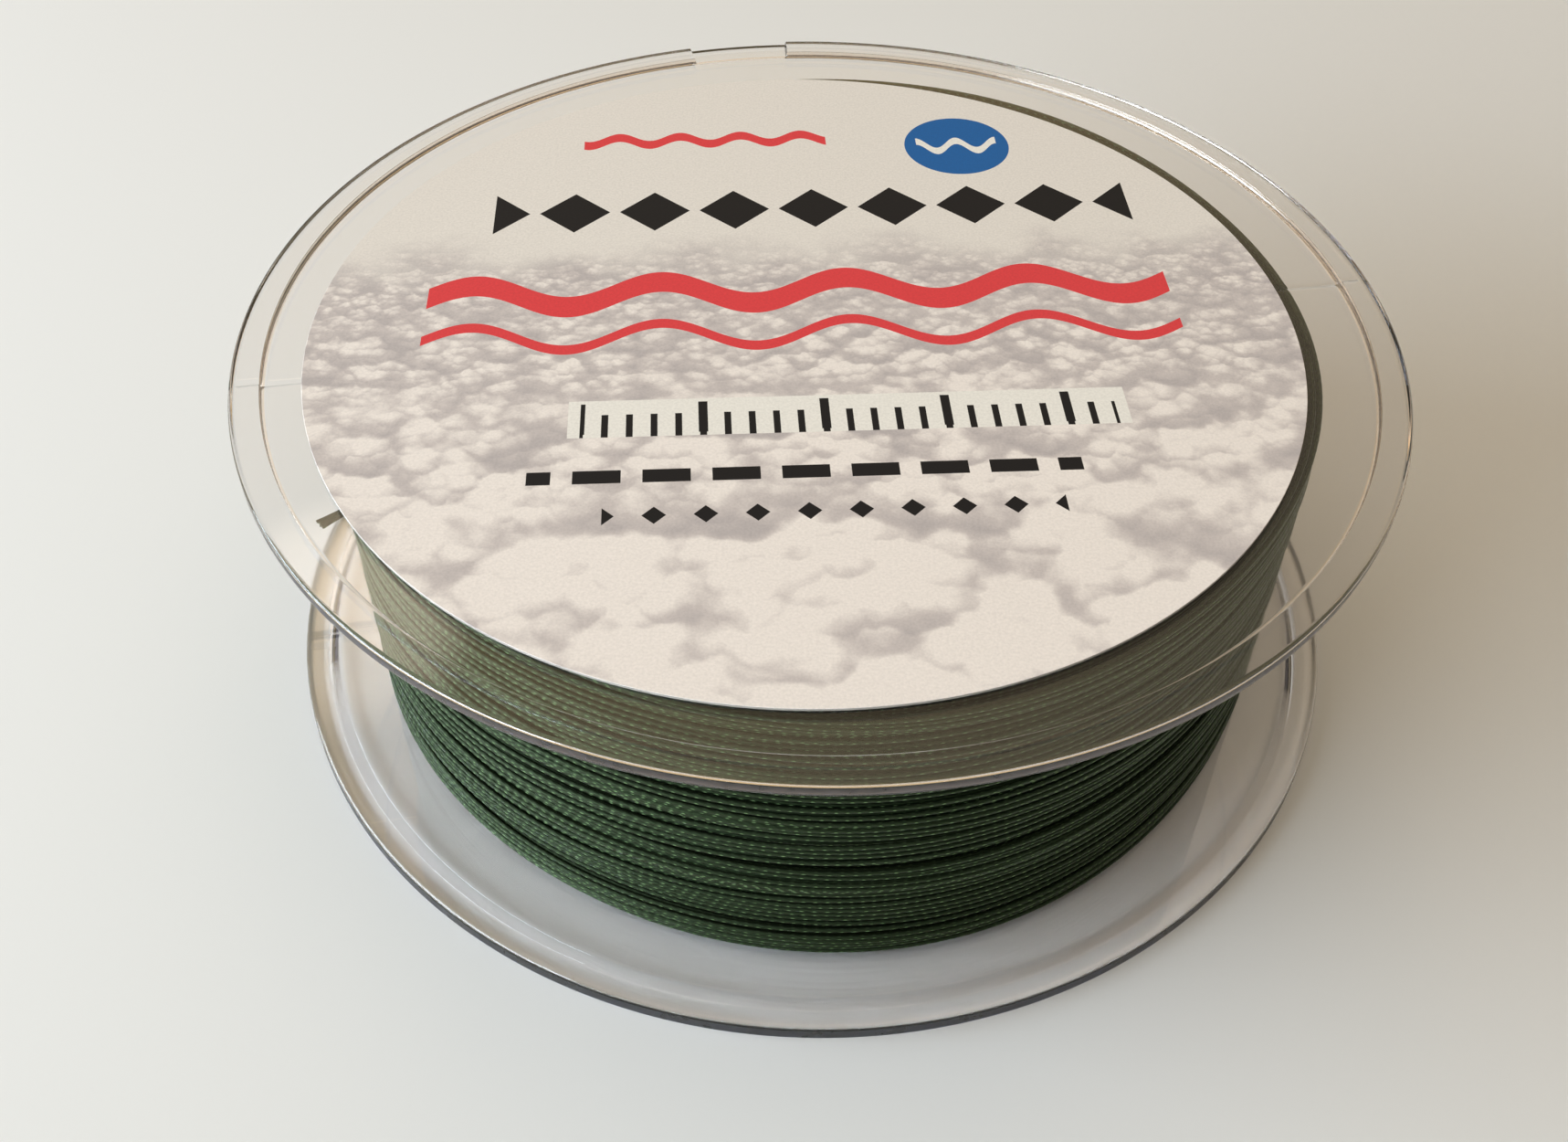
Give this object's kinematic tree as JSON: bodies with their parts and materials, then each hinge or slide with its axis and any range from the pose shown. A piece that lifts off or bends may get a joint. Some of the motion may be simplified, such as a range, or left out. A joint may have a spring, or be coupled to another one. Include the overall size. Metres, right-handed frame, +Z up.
{
  "type": "fishing line spool",
  "caption": "Clear moulded spool lying on one flange, full of dark green braided fishing line, with a round paper label on its upper face.",
  "frame": {"origin": "on the spool's axis, in the plane of the lower lip's underside that the spool stands on", "axes": "+Z up along the spool's axis, out of the labelled face; +X to the label's right, +Y towards its top"},
  "size_m": [0.1, 0.1, 0.0335],
  "materials": {
    "clear_plastic": "polished",
    "label_paper": "satin",
    "green_braid": "satin",
    "tape_film": "gloss"
  },
  "bodies": {
    "root": {"spool_body": "clear_plastic", "face_label": "label_paper", "line_core": "green_braid", "line_outer_layer": "green_braid", "line_end": "green_braid", "start_tape": "tape_film"}
  },
  "joints": []
}
